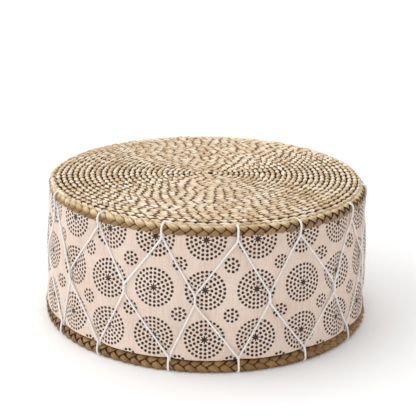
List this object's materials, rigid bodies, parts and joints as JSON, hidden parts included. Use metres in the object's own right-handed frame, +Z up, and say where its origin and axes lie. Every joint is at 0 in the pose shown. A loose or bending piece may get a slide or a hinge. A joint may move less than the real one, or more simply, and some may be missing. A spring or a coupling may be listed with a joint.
{
  "type": "mudda stool",
  "caption": "Low round stool with a woven reed top, plaited reed rims, a padded cotton side and a cord laced over it in diamonds.",
  "frame": {"origin": "centre of the underside, on the surface the stool stands on", "axes": "+Z up through the middle of the seat; -Y is the front, as the picture shows it; +X is to the right of the front"},
  "size_m": [0.4613, 0.4615, 0.196],
  "materials": {
    "seat_reed": "dried reed, pale straw, satin",
    "seat_plait_reed": "dried reed, tan, satin",
    "base_plait_reed": "dried reed, golden brown, satin",
    "base_reed": "dried reed, straw, matt",
    "core_reed": "raw reed stems, matt",
    "cane": "round cane, satin",
    "coir_felt": "coir felt, rough",
    "cotton_wadding": "carded cotton, matt",
    "printed_cotton": "plain-woven cotton, blush, block-printed in black",
    "white_cord": "twisted cotton cord, white"
  },
  "bodies": {
    "root": {"seat_spiral_rope": "seat_reed", "seat_rim_plait": "seat_plait_reed", "seat_pad": "coir_felt", "side_cover": "printed_cotton", "side_wadding": "cotton_wadding", "reed_bundle_01": "core_reed", "reed_bundle_02": "core_reed", "reed_bundle_03": "core_reed", "reed_bundle_04": "core_reed", "reed_bundle_05": "core_reed", "reed_bundle_06": "core_reed", "reed_bundle_07": "core_reed", "reed_bundle_08": "core_reed", "reed_bundle_09": "core_reed", "reed_bundle_10": "core_reed", "reed_bundle_11": "core_reed", "reed_bundle_12": "core_reed", "reed_bundle_13": "core_reed", "reed_bundle_14": "core_reed", "reed_bundle_15": "core_reed", "reed_bundle_16": "core_reed", "reed_bundle_17": "core_reed", "reed_bundle_18": "core_reed", "reed_bundle_19": "core_reed", "core_hoop_upper": "cane", "core_hoop_lower": "cane", "base_mat": "base_reed", "base_pad": "coir_felt", "base_rim_plait": "base_plait_reed", "lacing_cord": "white_cord", "lacing_knot": "white_cord"}
  },
  "joints": []
}
